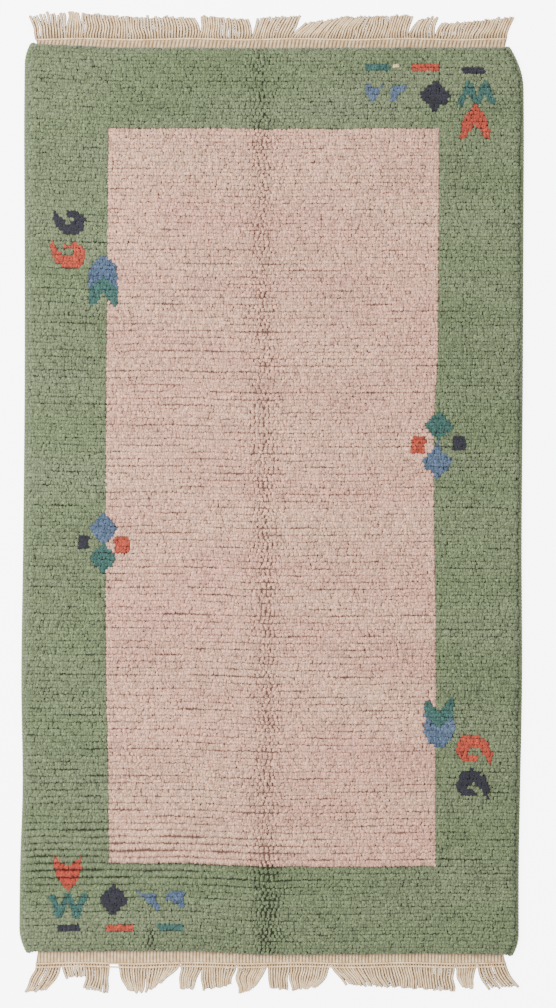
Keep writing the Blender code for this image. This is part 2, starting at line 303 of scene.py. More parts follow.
def side_drift(side, share):
    """Table drift plus, near each corner, a parabola: depth times (1 - distance / run) squared."""
    drift = smooth_through(SIDE_DRIFT, SIDE_COLUMNS.index(side), share)
    length = PILE_HIGH - PILE_LOW
    for end, distance in (("low", share * length), ("high", (1 - share) * length)):
        depth, run = CORNERS[side, end]
        drift = drift + depth * np.clip(1 - distance / run, 0, None) ** 2
    return drift


def side_x(side, share):
    """X of a long side: the half width less the drift, which is zero at the widest place."""
    least = side_drift(side, np.linspace(0, 1, 501)).min()
    x = HALF_WIDTH - side_drift(side, share) + least
    return -x if side == "left" else x


def end_y(end, across):
    """Y of a pile end at each share of the width, read off the table in straight steps."""
    drift = np.interp(across, END_DRIFT[:, 0], END_DRIFT[:, END_COLUMNS.index(end)]) * MM
    return PILE_LOW + drift if end == "low" else PILE_HIGH - drift


print("sides at mid length:", side_x("left", np.array([0.5])), side_x("right", np.array([0.5])))

# %% [markdown]
# ## The shape of the pile's edge
#
# At its rim the pile bulges over the binding and turns down. One profile, given as inset and height,
# carries the surface from under the rim over the shoulder to the full height. Stations are spread along
# its length of arc, so knots keep their spacing where the surface turns down.

# %% Edge profile
EDGE_INSET = np.array([4.6, 2.4, 0.6, 0.0, 0.5, 2.4, 6.0, 12.0]) * MM
EDGE_HEIGHT = np.array([2.4, 5.2, 7.4, 8.6, 10.0, 11.3, 12.1, 12.4]) * MM
EDGE_ARC = np.concatenate([[0], np.cumsum(np.hypot(np.diff(EDGE_INSET), np.diff(EDGE_HEIGHT)))])


def over_both_edges(plan_length, first_height, count):
    """Evenly spaced stations over one edge, the face and the other edge.

    Returns the plan distance from the first rim, the height, and the outward and upward parts of the
    normal, which is the profile's tangent turned by a right angle.
    """
    first = np.interp(first_height, EDGE_HEIGHT, EDGE_ARC)
    half_arc = EDGE_ARC[-1] + plan_length / 2 - EDGE_INSET[-1]
    place = np.linspace(first, 2 * half_arc - first, count)
    arc = np.minimum(place, 2 * half_arc - place)
    inset = np.interp(arc, EDGE_ARC, EDGE_INSET) + np.maximum(arc - EDGE_ARC[-1], 0)
    height = np.interp(arc, EDGE_ARC, EDGE_HEIGHT)
    between = np.append((EDGE_ARC[1:] + EDGE_ARC[:-1]) / 2, EDGE_ARC[-1])
    inward = np.interp(arc, between, np.append(np.diff(EDGE_INSET) / np.diff(EDGE_ARC), 1))
    rise = np.interp(arc, between, np.append(np.diff(EDGE_HEIGHT) / np.diff(EDGE_ARC), 0))
    near = place <= half_arc
    return np.where(near, inset, plan_length - inset), height, np.where(near, -rise, rise), inward


# %% [markdown]
# ## The pile's surface
#
# The surface is a grid of stations across and along the rug. Each plan position is blended between the
# two wandering sides and the two waving ends, so the rows of knots follow the ends as they do on a loom.
# The pile starts a few millimetres inside the outline, where the bindings and the end bands show.


# %% Pile surface
PLAN_WIDTH = 686 * MM
PLAN_LENGTH = 1256 * MM
SIDE_RIM_IN = {"left": 7.4 * MM, "right": 5.8 * MM}
END_RIM_IN = 3.0 * MM
LATTICE = 512
LATTICE_MIDDLE = 200


def pile_surface(columns, rows, side_height, end_height):
    """Points and unit normals of the pile's surface on a grid, one row of the grid for each row of knots.

    x = left + (right - left) x share across, y = low + (high - low) x share along, and the height is the
    lower of the two edge profiles.
    """
    plan_u, height_u, out_u, up_u = over_both_edges(PLAN_WIDTH, side_height, columns)
    plan_v, height_v, out_v, up_v = over_both_edges(PLAN_LENGTH, end_height, rows)
    across, along = plan_u / PLAN_WIDTH, (plan_v / PLAN_LENGTH)[:, None]
    left = side_x("left", along) + SIDE_RIM_IN["left"]
    right = side_x("right", along) - SIDE_RIM_IN["right"]
    low, high = end_y("low", across) + END_RIM_IN, end_y("high", across) - END_RIM_IN
    x = left + (right - left) * across
    y = low + (high - low) * along
    points = np.stack([x, y, np.minimum(height_u, height_v[:, None])], axis=-1)
    outward_x, outward_y = np.broadcast_to(out_u, x.shape), np.broadcast_to(out_v[:, None], x.shape)
    normals = np.stack([outward_x, outward_y, np.minimum(up_u, up_v[:, None])], axis=-1)
    return points, normals / np.linalg.norm(normals, axis=-1, keepdims=True)


def soft_noise(x, y, size_x, size_y, seed):
    """Smooth chance values from -1 to 1: a lattice of random numbers joined by the blend 3t^2 - 2t^3.

    The lattice's squares are size_x by size_y, and each seed gives another lattice.
    """
    lattice = np.random.default_rng(seed).uniform(-1, 1, (LATTICE, LATTICE))
    grid_x, grid_y = np.asarray(x) / size_x + LATTICE_MIDDLE, np.asarray(y) / size_y + LATTICE_MIDDLE
    i, j = np.floor(grid_x).astype(int), np.floor(grid_y).astype(int)
    s, t = grid_x - i, grid_y - j
    s, t = s * s * (3 - 2 * s), t * t * (3 - 2 * t)
    i, i_next, j, j_next = i % LATTICE, (i + 1) % LATTICE, j % LATTICE, (j + 1) % LATTICE
    low = lattice[i, j] * (1 - s) + lattice[i_next, j] * s
    high = lattice[i, j_next] * (1 - s) + lattice[i_next, j_next] * s
    return low * (1 - t) + high * t


# %% [markdown]
# ## The knot chart
#
# A knotter reads the design off a chart in which each square is one knot. Here the chart is worked out:
# every figure is a small outline or a stroke in plain geometry, drawn for this rug, and a knot takes the
# figure's yarn if its middle falls inside. The edges then step from knot to knot as they do in wool.


# %% Outlines of the figures
def mirrored(right_half):
    """An outline from its right half, read from the top down: the left half is its mirror image."""
    return right_half + [(-x, y) for x, y in right_half[::-1]]


# Outlines run from -1 to 1 both ways and are stretched to each figure's size.
OUTLINES = {
    "block": [(-1, -1), (1, -1), (1, 1), (-1, 1)],
    "lozenge": mirrored(
        [(0.03, 1), (0.3, 0.72), (0.74, 0.36), (1, 0.04), (0.72, -0.38), (0.3, -0.7), (0.06, -1)]
    ),
    "arrow": mirrored(
        [(0.04, 1), (0.46, 0.62), (0.76, 0.25), (0.9, -0.3)]
        + [(1, -0.92), (0.76, -1), (0.42, -0.6), (0.06, -0.2)]
    ),
    "tulip": mirrored(
        [(0.04, 1), (0.45, 0.66), (0.84, 0.3), (1, -0.1), (1, -0.8), (0.6, -0.6), (0.1, -0.24)]
    ),
    "bud": mirrored(
        [(0.14, 1), (0.5, 0.86), (0.86, 0.6), (1, 0.3)]
        + [(0.97, -0.6), (0.84, -1), (0.4, -0.72), (0.1, -0.48)]
    ),
    "bud_foot": mirrored([(0.05, 0.16), (1, -0.3), (0.97, -0.7), (0.84, -1), (0.4, -0.72), (0.1, -0.48)]),
    "tooth": [(-1, 1), (-0.5, 0.75), (0.2, 0.6), (1, 0.7)]
    + [(0.6, 0.1), (0.25, -1), (-0.35, -0.95), (-0.75, -0.1)],
    "leaf": [(-0.7, 0.6), (-0.1, 1), (1, 0.8), (0.8, 0.25)]
    + [(0.1, 0.1), (-0.1, -0.5), (-0.4, -1), (-0.9, -0.9)],
    "wedge": [(-1, 1), (0.75, 0.65), (1, -0.9), (0.8, -1), (0.2, -0.4), (-0.4, 0.2)],
    "fin": [(-1, 0.3), (-0.3, 0.9), (1, 1), (1, -0.6), (0.7, -1), (0.3, -0.35), (-0.5, -0.05)],
}
# A stroke is a bent line: x, y and half width at each of its bends.
HOOK = [
    (-0.93, 1.0, 0.06),
    (-0.83, 0.42, 0.21),
    (-0.5, -0.2, 0.33),
    (0.03, -0.46, 0.42),
    (0.52, -0.32, 0.45),
    (0.74, 0.26, 0.31),
    (0.46, 0.66, 0.23),
    (0.0, 0.64, 0.2),
]
ZIGZAG = [(-0.9, -0.6, 0.16), (-0.48, 0.44, 0.2), (0.0, -0.5, 0.18), (0.46, 0.46, 0.2), (0.9, -0.56, 0.16)]
STROKES = {"hook": HOOK, "zigzag": ZIGZAG}

# %% [markdown]
# The figures lie in groups along the border. Each group has a partner on the other side of the middle
# that is turned half round, as if the rug had been planned to look the same from either end.

# %% Where the figures lie
# Shape, yarn, middle, width and height in millimetres, and whether it is turned half round.
FIGURES = (
    ("block", "teal", 147, 601.7, 34, 12, False),
    ("block", "straw", 175, 606.4, 9, 5, False),
    ("block", "rust", 213, 601.7, 37, 12, False),
    ("block", "navy", 281, 598.5, 31, 11, False),
    ("tooth", "blue", 142, 568, 25, 25, False),
    ("leaf", "blue", 177, 568, 25, 27, False),
    ("lozenge", "navy", 227, 563, 43, 45, False),
    ("zigzag", "teal", 285, 567, 50, 50, False),
    ("arrow", "rust", 283, 526, 43, 48, False),
    ("hook", "navy", -280, 387, 42, 38, False),
    ("hook", "rust", -281, 341, 47, 42, False),
    ("bud", "blue", -232, 306, 40, 71, False),
    ("bud_foot", "teal", -232, 306, 40, 71, False),
    ("lozenge", "blue", -232, -36, 39, 47, False),
    ("lozenge", "teal", -232, -78, 37, 42, False),
    ("block", "navy", -259, -57, 15, 20, False),
    ("block", "rust", -206, -57, 21, 24, False),
    ("lozenge", "teal", 233, 106, 39, 41, True),
    ("lozenge", "blue", 230, 56, 44, 46, True),
    ("block", "blue", 231, 82, 4, 14, True),
    ("block", "rust", 204, 81, 20, 23, True),
    ("block", "navy", 261, 81, 16, 18, True),
    ("bud", "blue", 233, -305, 42, 71, True),
    ("bud_foot", "teal", 233, -305, 42, 71, True),
    ("hook", "rust", 282, -340, 48, 46, True),
    ("hook", "navy", 280, -389, 44, 42, True),
    ("tulip", "rust", -281, -511, 39, 51, True),
    ("zigzag", "teal", -281, -559, 50, 50, True),
    ("lozenge", "navy", -218, -550, 41, 45, True),
    ("wedge", "blue", -170, -553, 30, 27, False),
    ("fin", "blue", -135, -551, 29, 25, False),
    ("block", "navy", -280, -591, 31, 10, True),
    ("block", "rust", -209, -589, 37, 12, True),
    ("block", "teal", -139, -587.8, 33, 10.2, True),
)
# The field's ends as shares of the pile's length, each midway between two rows of knots.
FIELD_ENDS = (0.09643, 0.91105)
# The field's left and right side in millimetres, at a few places y.
FIELD_SIDES = np.array(
    [
        (-504, -224, 228),
        (-380, -225, 228),
        (-260, -228, 228.5),
        (-150, -229, 228),
        (-50, -229, 226),
        (60, -228.5, 225.5),
        (120, -228, 226),
        (200, -227.8, 231),
        (517, -225, 233),
    ]
)
YARNS = ("green", "pink", "navy", "rust", "blue", "teal", "straw")


def in_outline(outline, x, y):
    """True inside a closed outline: a ray to the right crosses its edges an odd number of times."""
    inside = np.zeros(x.shape, dtype=bool)
    for (x0, y0), (x1, y1) in zip(outline, outline[1:] + outline[:1]):
        if y0 != y1:
            crosses = (y0 > y) != (y1 > y)
            inside ^= crosses & (x < x0 + (y - y0) * (x1 - x0) / (y1 - y0))
    return inside


def in_stroke(stroke, x, y):
    """True nearer to a bent stroke than its half width there, which changes evenly along each part."""
    inside = np.zeros(x.shape, dtype=bool)
    for (x0, y0, w0), (x1, y1, w1) in zip(stroke, stroke[1:]):
        along = ((x - x0) * (x1 - x0) + (y - y0) * (y1 - y0)) / ((x1 - x0) ** 2 + (y1 - y0) ** 2)
        t = np.clip(along, 0, 1)
        away = np.hypot(x - x0 - t * (x1 - x0), y - y0 - t * (y1 - y0))
        inside |= away < w0 + t * (w1 - w0)
    return inside


def share_along(x, y):
    """Share of the pile's length, counted along the rug from the low end as it waves at this x."""
    across = np.clip(0.5 + x / (2 * HALF_WIDTH), 0, 1)
    low, high = end_y("low", across) + END_RIM_IN, end_y("high", across) - END_RIM_IN
    return (y - low) / (high - low)


def yarn_at(x, y):
    """Index in YARNS of the yarn at plan positions in metres."""
    x_mm, y_mm = x / MM, y / MM
    left = np.interp(y_mm, FIELD_SIDES[:, 0], FIELD_SIDES[:, 1])
    right = np.interp(y_mm, FIELD_SIDES[:, 0], FIELD_SIDES[:, 2])
    along = share_along(x, y)
    in_field = (x_mm > left) & (x_mm < right) & (along > FIELD_ENDS[0]) & (along < FIELD_ENDS[1])
    yarn = np.where(in_field, YARNS.index("pink"), YARNS.index("green"))
    for shape, name, centre_x, centre_y, width, height, turned in FIGURES:
        way = -1 if turned else 1
        unit_x = way * (x_mm - centre_x) / (width / 2)
        unit_y = way * (y_mm - centre_y) / (height / 2)
        if shape in STROKES:
            inside = in_stroke(STROKES[shape], unit_x, unit_y)
        else:
            inside = in_outline(OUTLINES[shape], unit_x, unit_y)
        yarn[inside] = YARNS.index(name)
    return yarn


print("figures:", len(FIGURES), "of", len(OUTLINES) + len(STROKES), "shapes")

# %% [markdown]
# ## Wool
#
# The pile is hand-spun sheep's wool, dyed in small lots. Cut wool has no gloss but a soft sheen, no two
# tufts match, and the dye lots show as faint bands across the rug. Its roots are painted darker than its
# tips, as shade deep in the pile. Each tuft carries two values for this: tone, its own lightness, which
# also takes painted shade where the pile is carved or parted, and depth, which runs from the root to the
# cut tip and sets how much painted shade a point takes. The fibres themselves are about 0.03 mm thick,
# too fine to show, so they are drawn as a grain of 1.6 mm clumps broken into finer ones. Dye lots run on
# for about 70 mm of weaving and 300 mm across.

# %% Wool materials
FIBRE_GRAIN = 1.6 * MM
DYE_BAND = (0.30, 0.07)
# Blender's noise seldom leaves this range, which is stretched to its full effect.
MIDDLE_OF_NOISE = {"From Min": 0.3, "From Max": 0.7}
# Tip, other dye lot and root. The root colour is painted shade deep in the pile.
WOOL = {
    "green": ("#616e4b", "#6c7757", "#384027"),
    "pink": ("#cf9b86", "#d3a98e", "#7a5c50"),
    "navy": ("#1c1c27", "#22222e", "#0c0c13"),
    "rust": ("#a23822", "#aa442e", "#5e1a10"),
    "blue": ("#42566f", "#506177", "#212f46"),
    "teal": ("#2a534b", "#355c55", "#122e2a"),
    "straw": ("#cfbb83", "#dac999", "#796942"),
}


def wool(name, tip, other_lot, root):
    """Dyed cut wool: painted shade from root to tip by depth, two dye lots in bands, pale fibres, own tone.

    Colour = mix of the root's painted shade and the dyed tip by depth, times 0.62 to 1.38 by tone, times
    0.5 to 1.5 by the grain.
    """
    material, tree, shader = new_material(name, roughness=0.95, sheen=0.25, sheen_roughness=0.6)
    place = add_node(tree, "ShaderNodeTexCoord").outputs["Object"]
    stretch = (1 / DYE_BAND[0], 1 / DYE_BAND[1], 1.0)
    banded = add_node(tree, "ShaderNodeMapping", {"Vector": place, "Scale": stretch}).outputs["Vector"]
    bands = add_node(tree, "ShaderNodeTexNoise", {"Vector": banded, "Scale": 1.0, "Detail": 2.0})
    lot = add_node(tree, "ShaderNodeMapRange", {"Value": bands.outputs["Fac"], **MIDDLE_OF_NOISE})
    lots = {"Factor": lot.outputs["Result"], FIRST_COLOUR: linear(tip), SECOND_COLOUR: linear(other_lot)}
    dyed = add_node(tree, "ShaderNodeMix", lots, data_type="RGBA").outputs[MIXED]
    colour, own = from_root_to_tip(tree, root, dyed, darkest=0.62, lightest=1.38)
    fibres = {"Vector": place, "Scale": 1 / FIBRE_GRAIN, "Detail": 3.0}
    grain = add_node(tree, "ShaderNodeTexNoise", fibres).outputs["Fac"]
    paler = {"Value": grain, "To Min": 0.5, "To Max": 1.5, **MIDDLE_OF_NOISE}
    fibre = add_node(tree, "ShaderNodeMapRange", paler).outputs["Result"]
    lightness = add_node(tree, "ShaderNodeMath", {0: own, 1: fibre}, operation="MULTIPLY").outputs[0]
    relief = {"Height": grain, "Strength": 0.5, "Distance": 0.4 * MM}
    show_fibres(tree, shader, colour, lightness, relief)
    return material


wool_of = {yarn: wool(f"{yarn}_cut_wool", *WOOL[yarn]) for yarn in YARNS}
print("wools:", ", ".join(wool_of))

# %% [markdown]
# ## The foundation
#
# Under the pile lies the foundation: cotton warps and wefts gripped by the knots. It shows only as the
# bottom of the grooves, where its top and walls are painted dark as shade, and on the back of the rug,
# where each knot is a small bump in its own colour. Knots packed this tight look matt, as a fine grid.
# The slab is one closed shape: the pile's own surface sunk by the length of the tufts, and a flat back
# that reaches further out at the sides, under the bindings.

# %% Foundation slab
KNOT_WIDE = 3.2 * MM
RIBS = 134
KNOT_LONG = PLAN_LENGTH / (2 * RIBS + 1)
SLAB_COLUMNS = 109
SLAB_ROWS = 135
SLAB_SUNK = 2.0 * MM
BACK_HEIGHT = 0.15 * MM
BACK_OUT = 6.0 * MM
SLAB_LEAST = 1.6 * MM
# Under the tufts and on the walls the yarn is painted dark as shade, and the fourth value leaves out
# the weft.
TOP_SHADE = (0.2, 0.2, 0.2, 0.0)
WALL_SHADE = (0.3, 0.3, 0.3, 0.0)


def knotted_back():
    """Hand-knotted wool and cotton from behind: each knot's own yarn, with cotton weft between the rows.

    A knot's bump is |sin| across times |sin| along, and the weft shows where |sin| along is near 0.
    """
    material, tree, shader = new_material("knotted_wool_back", roughness=0.95, sheen=0.1)
    place = add_node(tree, "ShaderNodeTexCoord").outputs["Object"]
    axes = add_node(tree, "ShaderNodeSeparateXYZ", {"Vector": place})
    waves = {}
    for axis, pitch in (("X", KNOT_WIDE), ("Y", KNOT_LONG)):
        turned = {0: axes.outputs[axis], 1: np.pi / pitch}
        angle = add_node(tree, "ShaderNodeMath", turned, operation="MULTIPLY")
        sine = add_node(tree, "ShaderNodeMath", {0: angle.outputs[0]}, operation="SINE")
        size = add_node(tree, "ShaderNodeMath", {0: sine.outputs[0]}, operation="ABSOLUTE")
        waves[axis] = size.outputs[0]
    knot = add_node(tree, "ShaderNodeMath", {0: waves["X"], 1: waves["Y"]}, operation="MULTIPLY")
    yarn = add_node(tree, "ShaderNodeAttribute", attribute_name="yarn")
    between = {"Value": waves["Y"], "From Max": 0.3, "To Min": 0.5, "To Max": 0.0}
    line = add_node(tree, "ShaderNodeMapRange", between).outputs["Result"]
    shown = {0: line, 1: yarn.outputs["Alpha"]}
    weft = add_node(tree, "ShaderNodeMath", shown, operation="MULTIPLY").outputs[0]
    colours = {"Factor": weft, FIRST_COLOUR: yarn.outputs["Color"], SECOND_COLOUR: linear("#8d7c66")}
    backed = add_node(tree, "ShaderNodeMix", colours, data_type="RGBA").outputs[MIXED]
    tree.links.new(backed, shader.inputs["Base Color"])
    relief = {"Height": knot.outputs[0], "Strength": 0.8, "Distance": 0.8 * MM}
    bump = add_node(tree, "ShaderNodeBump", relief)
    tree.links.new(bump.outputs["Normal"], shader.inputs["Normal"])
    return material


def closed_slab():
    """Top grid, back grid turned over, and a wall that joins the two rims point by point.

    Top = pile's surface - sinking x normal. Back = the top's edges moved out, with even steps between.
    """
    top, normals = pile_surface(SLAB_COLUMNS, SLAB_ROWS, EDGE_HEIGHT[1], EDGE_HEIGHT[0])
    top = top - SLAB_SUNK * normals
    top[..., 2] = np.maximum(top[..., 2], SLAB_LEAST)
    share_x, share_y = np.linspace(0, 1, SLAB_COLUMNS), np.linspace(0, 1, SLAB_ROWS)
    left, right = top[:, :1, 0] - BACK_OUT, top[:, -1:, 0] + BACK_OUT
    low, high = top[:1, :, 1], top[-1:, :, 1]
    back = np.full_like(top, BACK_HEIGHT)
    back[..., 0] = left + (right - left) * share_x
    back[..., 1] = low + (high - low) * share_y[:, None]
    count = SLAB_ROWS * SLAB_COLUMNS
    faces = grid_faces(SLAB_ROWS, SLAB_COLUMNS)
    index = np.arange(count).reshape(SLAB_ROWS, SLAB_COLUMNS)
    rim = np.concatenate([index[0, :-1], index[:-1, -1], index[-1, :0:-1], index[:0:-1, 0]])
    after = np.roll(rim, -1)
    wall = np.stack([rim + count, after + count, after, rim], axis=1)
    points = np.concatenate([top.reshape(-1, 3), back.reshape(-1, 3)])
    u, v = np.tile(share_x, SLAB_ROWS), np.repeat(share_y, SLAB_COLUMNS)
    uv = np.concatenate([np.column_stack([0.49 * u, v]), np.column_stack([0.51 + 0.49 * u, v])])
    return points, np.concatenate([faces, faces[:, ::-1] + count, wall]), uv


points, faces, uv = closed_slab()
foundation = new_piece("rug_foundation", points, [faces], knotted_back(), uv)
middle = points[faces].mean(axis=1)
yarn_colours = np.array([linear(WOOL[yarn][0]) for yarn in YARNS])
face_colours = yarn_colours[yarn_at(middle[:, 0], middle[:, 1])]
top_count = (SLAB_ROWS - 1) * (SLAB_COLUMNS - 1)
# The top and walls take painted shade, as the dark bottom of the grooves.
face_colours[:top_count] *= TOP_SHADE
face_colours[2 * top_count :] *= WALL_SHADE
layer = foundation.data.color_attributes.new("yarn", "FLOAT_COLOR", "CORNER")
layer.data.foreach_set("color", np.repeat(face_colours, 4, axis=0).astype(np.float32).ravel())
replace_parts(foundation, "pile_slab")

# %% [markdown]
# ## How the pile lies
#
# Each rib of the face is two rows of knots beaten down together, so a deeper groove runs between ribs.
# Use and folding change this: the grooves gape most in one corner, a long crease parts the tufts where
# the rug was folded, and every row wanders a little.

# %% Grooves and creases
# The grooves gape by this much everywhere, more in the open places, and more or less by chance.
GROOVE_BASE = 0.10
GROOVE_CHANCE = (0.32, 0.22)
WIDEST_GAPE = 2.4
# Middle and spread in millimetres, across and along, and how much more the grooves gape there.
OPEN_PLACES = (
    (-170, -490, 220, 60, 1.35),
    (-290, -440, 100, 120, 0.5),
    (-40, -200, 330, 230, 0.5),
    (-120, 200, 260, 170, 0.55),
    (250, -520, 200, 120, 0.2),
)
CREASE_X = -8.3 * MM
CREASE_SLOPE = -0.007
CREASE_SPREAD = 18.0 * MM
CLUMP_PITCH = 6.4 * MM
CREASE_WANDER = 2.2 * MM
# The long crease's strength at a few places y in millimetres.
CREASE_STRENGTH = np.array(
    [(-630, 1.25), (-520, 1.1), (-470, 0.66), (0, 0.68), (400, 0.6), (520, 0.72), (638, 0.6)]
)
# The short crease's middle and spread in millimetres.
SHORT_CREASE = (-165, -606, 9, 24)
SHORT_CREASE_STRENGTH = 0.9


def bell(x, y, centre_x, centre_y, spread_x, spread_y):
    """exp(-(dx / spread)^2 - (dy / spread)^2), with sizes in millimetres and x and y in metres."""
    return np.exp(-(((x / MM - centre_x) / spread_x) ** 2) - ((y / MM - centre_y) / spread_y) ** 2)


def long_crease(x, y):
    """Distance from the long crease, and its pull: a bell curve across, a table along."""
    away = x - (CREASE_X + CREASE_SLOPE * y) - CREASE_WANDER * soft_noise(y, 0 * y, 0.05, 1.0, 31)
    strength = np.interp(y / MM, CREASE_STRENGTH[:, 0], CREASE_STRENGTH[:, 1])
    return away, strength * np.exp(-((away / CREASE_SPREAD) ** 2))


def openness(x, y):
    """How much more than elsewhere the grooves gape: the sum of the bell-shaped places."""
    return sum(more * bell(x, y, *place) for *place, more in OPEN_PLACES)


def groove_gape(x, y, groove):
    """How far a groove gapes: a base, the open places, and chance along and between grooves."""
    along = GROOVE_CHANCE[0] * soft_noise(x, groove, 0.05, 1.0, 41)
    between = GROOVE_CHANCE[1] * soft_noise(0 * x, groove, 1.0, 1.0, 42)
    gape = GROOVE_BASE + openness(x, y)
    return np.clip(gape * (1 + along + between), 0.0, WIDEST_GAPE)


# %% [markdown]
# ## Planting the tufts
#
# A tuft is a short lock of cut yarn. Seen from a step away it is a small rounded block, so each one has
# nine points: a square root, a smaller square shoulder and a tip. All tufts are worked out at once: the
# root stays on the surface, and the shoulder and tip lean away from grooves, creases and other colours.

# %% Tuft positions
TUFT_COLUMNS = 216
TUFT_ROWS = 2 * RIBS + 4
# Height on the edge's profile where the outermost tufts stand.
SIDE_START, END_START = 6.6 * MM, 3.4 * MM
# Rows wander by this much in millimetres, and by more where the grooves gape; tufts wander a little too.
ROW_WANDER, OPEN_WANDER, TUFT_WANDER = 0.8, 0.7, 0.4 * MM
# The wander dies out over this many rows at both ends.
STEADY_ROWS = 6
# How far a crease's clumps turn on by chance from row to row, and in the upper row of a rib.
CLUMP_TURN, UPPER_TURN = 2.2, 0.8

place, normal = pile_surface(TUFT_COLUMNS, TUFT_ROWS, SIDE_START, END_START)
chance = np.random.default_rng(11)
shape = place.shape[:2]
row = np.broadcast_to(np.arange(TUFT_ROWS)[:, None], shape)
upper_row = row % 2
rib = row // 2
x, y = place[..., 0].copy(), place[..., 1].copy()
gape = groove_gape(x, y, rib - 1 + upper_row)
away, crease = long_crease(x, y)
short_crease = SHORT_CREASE_STRENGTH * bell(x, y, *SHORT_CREASE)
clumped = np.clip(crease + short_crease, 0, 1)
loose = (ROW_WANDER + OPEN_WANDER * openness(x, y)) * MM
wander = loose * soft_noise(x, rib, 0.035, 1.5, 51) + TUFT_WANDER * soft_noise(x, row, 0.012, 1.0, 52)
wander *= np.clip(np.minimum(row - 2, TUFT_ROWS - 3 - row) / STEADY_ROWS, 0, 1)
clump_angle = 2 * np.pi * x / CLUMP_PITCH + UPPER_TURN * upper_row
clump_angle += CLUMP_TURN * soft_noise(0 * x, row, 1.0, 1.5, 55)
print("tufts:", shape[0] * shape[1], "in", shape[0], "rows")

# %% [markdown]
# The tufts now move off the even grid, by chance, by the grooves and by the creases. Then the tufts
# nearest to the field's sides are pulled to half a knot inside them, and their neighbours follow less and
# less, so the two colours meet in a clean line.

# %% Tufts off the grid
# Chance shifts in millimetres: of a whole row across, and of a tuft across and along.
ROW_SHIFT, SHIFT_ACROSS, SHIFT_ALONG = 1.6, 0.8, 0.5
# How far tufts move from a gaping groove and into the clumps of a crease.
GAPE_SHIFT, CLUMP_SHIFT = 0.5 * MM, 0.5 * MM
FIELD_PULL = 10 * MM
# The face swells a little by chance, and sinks in the short crease by this share of its strength.
SWELL, SHORT_CREASE_SINK = 0.3 * MM, 0.7

place[..., 0] += chance.uniform(-ROW_SHIFT, ROW_SHIFT, (TUFT_ROWS, 1)) * MM
place[..., 0] += chance.uniform(-SHIFT_ACROSS, SHIFT_ACROSS, shape) * MM
place[..., 1] += chance.uniform(-SHIFT_ALONG, SHIFT_ALONG, shape) * MM + wander
place[..., 1] -= (upper_row - 0.5) * GAPE_SHIFT * gape
place[..., 0] -= CLUMP_SHIFT * clumped * np.sin(clump_angle)
for column, inward in ((1, 1), (2, -1)):
    field_x = np.interp(y / MM, FIELD_SIDES[:, 0], FIELD_SIDES[:, column]) * MM
    inside_by = inward * (place[..., 0] - field_x)
    nearest = np.where(inside_by > 0, inside_by, 1.0).min(axis=1, keepdims=True)
    place[..., 0] += inward * (KNOT_WIDE / 2 - nearest) * np.exp(-((inside_by / FIELD_PULL) ** 2))
place[..., 2] += SWELL * soft_noise(x, y, 0.05, 0.03, 54) - (crease + SHORT_CREASE_SINK * short_crease) * MM
print("tufts lie between", round(place[..., 0].min(), 4), "and", round(place[..., 0].max(), 4), "m across")

# %% [markdown]
# Every knot now takes its yarn from the chart. Where the colours change, the weaver carves a fine line
# with scissors: tufts next to another colour are a little lower and lean back from it.


# %% Yarn of each tuft and the carved lines
def differs_from_next(values, axis):
    """True where a value isn't the one before it, and where it isn't the one after it, along an axis."""
    change = np.diff(values, axis=axis) != 0
    before, after = [(0, 0), (0, 0)], [(0, 0), (0, 0)]
    before[axis], after[axis] = (1, 0), (0, 1)
    return np.pad(change, before).astype(int), np.pad(change, after).astype(int)


yarn = yarn_at(place[..., 0], y)
other_left, other_right = differs_from_next(yarn, 1)
other_below, other_above = differs_from_next(yarn, 0)
carved = np.clip(other_left + other_right + other_below + other_above, 0, 1)
print("tufts of each yarn:", {name: int((yarn == k).sum()) for k, name in enumerate(YARNS)})

# %% [markdown]
# The lean of each tuft adds up all that moves it. Its tone adds chance, slow patches, and painted shade
# where the pile is carved or parted.

# %% Lean, size and tone
# Lean in millimetres, across and along: by chance, and away from another colour.
LEAN_CHANCE = (0.7, 0.45)
CARVED_LEAN = (0.55, 0.5)
# Lean in millimetres into a crease's clumps, away from the long crease and away from a gaping groove.
CLUMP_LEAN, CREASE_LEAN, GAPE_LEAN = 2.0, 0.5, 1.6
# Half sizes as shares of a knot, how much a crease narrows them, and their range by chance.
WIDE_SHARE, WIDE_LOSS, WIDE_RANGE = 0.72, 0.25, (0.78, 1.14)
LONG_SHARE, LONG_LOSS, LONG_RANGE = 0.62, 0.06, (0.80, 1.12)
# A tip's height in millimetres, its chance, and how far carving and parting lower it.
TIP_HEIGHT, TIP_CHANCE, TIP_CARVED, TIP_PARTED = 0.75, 0.45, 0.35, 0.5
TWIST_CHANCE = 0.4
# A tuft's tone by chance, in patches and in rows, and how much painted shade carving and parting add.
TONE_CHANCE, TONE_PATCH, TONE_ROW, CARVED_SHADE, PARTED_SHADE = 0.2, 0.08, 0.05, 0.10, 0.27

parted = clumped * (0.5 + 0.5 * np.cos(clump_angle))
lean_x = chance.normal(0, LEAN_CHANCE[0], shape) - CLUMP_LEAN * clumped * np.sin(clump_angle)
lean_x += CREASE_LEAN * np.sign(away) * crease
lean_x = (lean_x + CARVED_LEAN[0] * (other_left - other_right)) * MM
lean_y = chance.normal(0, LEAN_CHANCE[1], shape) + (0.5 - upper_row) * GAPE_LEAN * gape
lean_y = (lean_y + CARVED_LEAN[1] * (other_below - other_above)) * MM
half_wide = WIDE_SHARE * KNOT_WIDE * (1 - WIDE_LOSS * clumped) * chance.uniform(*WIDE_RANGE, shape)
half_long = LONG_SHARE * KNOT_LONG * (1 - LONG_LOSS * clumped) * chance.uniform(*LONG_RANGE, shape)
tip_height = TIP_HEIGHT + chance.uniform(-TIP_CHANCE, TIP_CHANCE, shape)
tip_height = (tip_height - TIP_CARVED * carved - TIP_PARTED * parted) * MM
twist = chance.normal(0, TWIST_CHANCE, shape)
